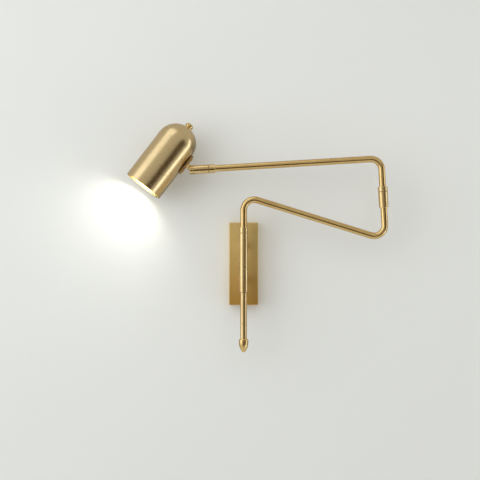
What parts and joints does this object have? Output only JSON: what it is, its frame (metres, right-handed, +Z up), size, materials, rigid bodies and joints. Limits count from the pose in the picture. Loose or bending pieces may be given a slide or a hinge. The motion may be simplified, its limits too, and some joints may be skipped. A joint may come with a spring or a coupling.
{
  "type": "swing arm wall lamp",
  "caption": "Brass wall lamp: a domed spot shade on a swivelling, tilting knuckle, carried by two folding tube arms that turn in a barrel on a narrow backplate.",
  "frame": {"origin": "on the wall, at the middle of the backplate", "axes": "+X to the right along the wall, +Y into the wall, +Z up"},
  "size_m": [0.392, 0.0748, 0.3444],
  "materials": {
    "satin_brass": "satin, brushed round",
    "brushed_brass": "brushed upright, clear lacquer",
    "tube_brass": "semi-gloss brass",
    "polished_brass": "polished brass",
    "zinc_steel": "zinc plated",
    "bearing_bronze": "sintered bronze, oiled",
    "black_rubber": "matte",
    "block_plastic": "moulded",
    "holder_ceramic": "unglazed ceramic",
    "lamp_white": "white moulded housing",
    "lamp_lens": "frosted lens, lit"
  },
  "bodies": {
    "wall_mount": {"backplate_cover": "brushed_brass", "wall_bracket": "zinc_steel", "cover_screws": "polished_brass", "bracket_grommet": "black_rubber", "terminal_block": "block_plastic", "clamp_screws": "zinc_steel", "block_fixing_screw": "zinc_steel", "earth_screw": "zinc_steel", "earth_washer": "zinc_steel", "post_upper": "tube_brass", "post_lower": "tube_brass", "post_washers": "zinc_steel", "post_nuts": "zinc_steel", "wall_barrel": "tube_brass", "barrel_bush_upper": "bearing_bronze", "barrel_bush_lower": "bearing_bronze"},
    "lower_arm": {"lower_arm_tube": "tube_brass", "wall_collar": "tube_brass", "wall_collar_screw": "zinc_steel", "tail_washer": "tube_brass", "tail_rod": "tube_brass", "tail_finial": "polished_brass", "elbow_sleeve": "tube_brass", "elbow_sleeve_screw": "zinc_steel", "elbow_bush": "bearing_bronze"},
    "upper_arm": {"upper_arm_tube": "tube_brass", "elbow_collar": "tube_brass", "elbow_collar_screw": "zinc_steel", "elbow_insert": "zinc_steel", "elbow_spindle": "zinc_steel", "elbow_spring_washer": "zinc_steel", "head_ring": "tube_brass", "head_ring_screw": "zinc_steel", "head_insert": "zinc_steel", "head_spindle": "zinc_steel", "head_spring_washer": "zinc_steel"},
    "head_swivel": {"socket_sleeve": "tube_brass", "socket_bush": "bearing_bronze", "tilt_screws": "polished_brass"},
    "head": {"knuckle_stem": "tube_brass", "saddle_plate": "tube_brass", "saddle_spacers": "tube_brass", "saddle_screws": "polished_brass", "saddle_nuts": "zinc_steel", "lead_bush": "black_rubber", "shade": "satin_brass", "apex_neck": "tube_brass", "apex_knob": "polished_brass", "apex_stud": "zinc_steel", "stud_nuts": "zinc_steel", "lampholder_bracket": "zinc_steel", "bracket_screws": "zinc_steel", "lampholder": "holder_ceramic", "lamp_body": "lamp_white", "lamp_lens": "lamp_lens", "lamp_pins": "zinc_steel"}
  },
  "joints": [
    {"name": "arm_swing", "type": "hinge", "parent": "wall_mount", "child": "lower_arm", "pos_m": [0, -0.042, 0], "axis": [0, 0, 1], "range_deg": [-180, 0]},
    {"name": "elbow_swing", "type": "hinge", "parent": "lower_arm", "child": "upper_arm", "pos_m": [0.213, -0.042, 0.03605], "axis": [-0.0558, 0, 0.9984], "range_deg": [-180, 180]},
    {"name": "head_roll", "type": "hinge", "parent": "upper_arm", "child": "head_swivel", "pos_m": [-0.07632, -0.042, 0.14128], "axis": [0.9982, 0, 0.0604], "range_deg": [-175, 175]},
    {"name": "head_tilt", "type": "hinge", "parent": "head_swivel", "child": "head", "pos_m": [-0.07632, -0.042, 0.14128], "axis": [0.0074, 0.9925, -0.1216], "range_deg": [-130.4, 49.6]}
  ]
}
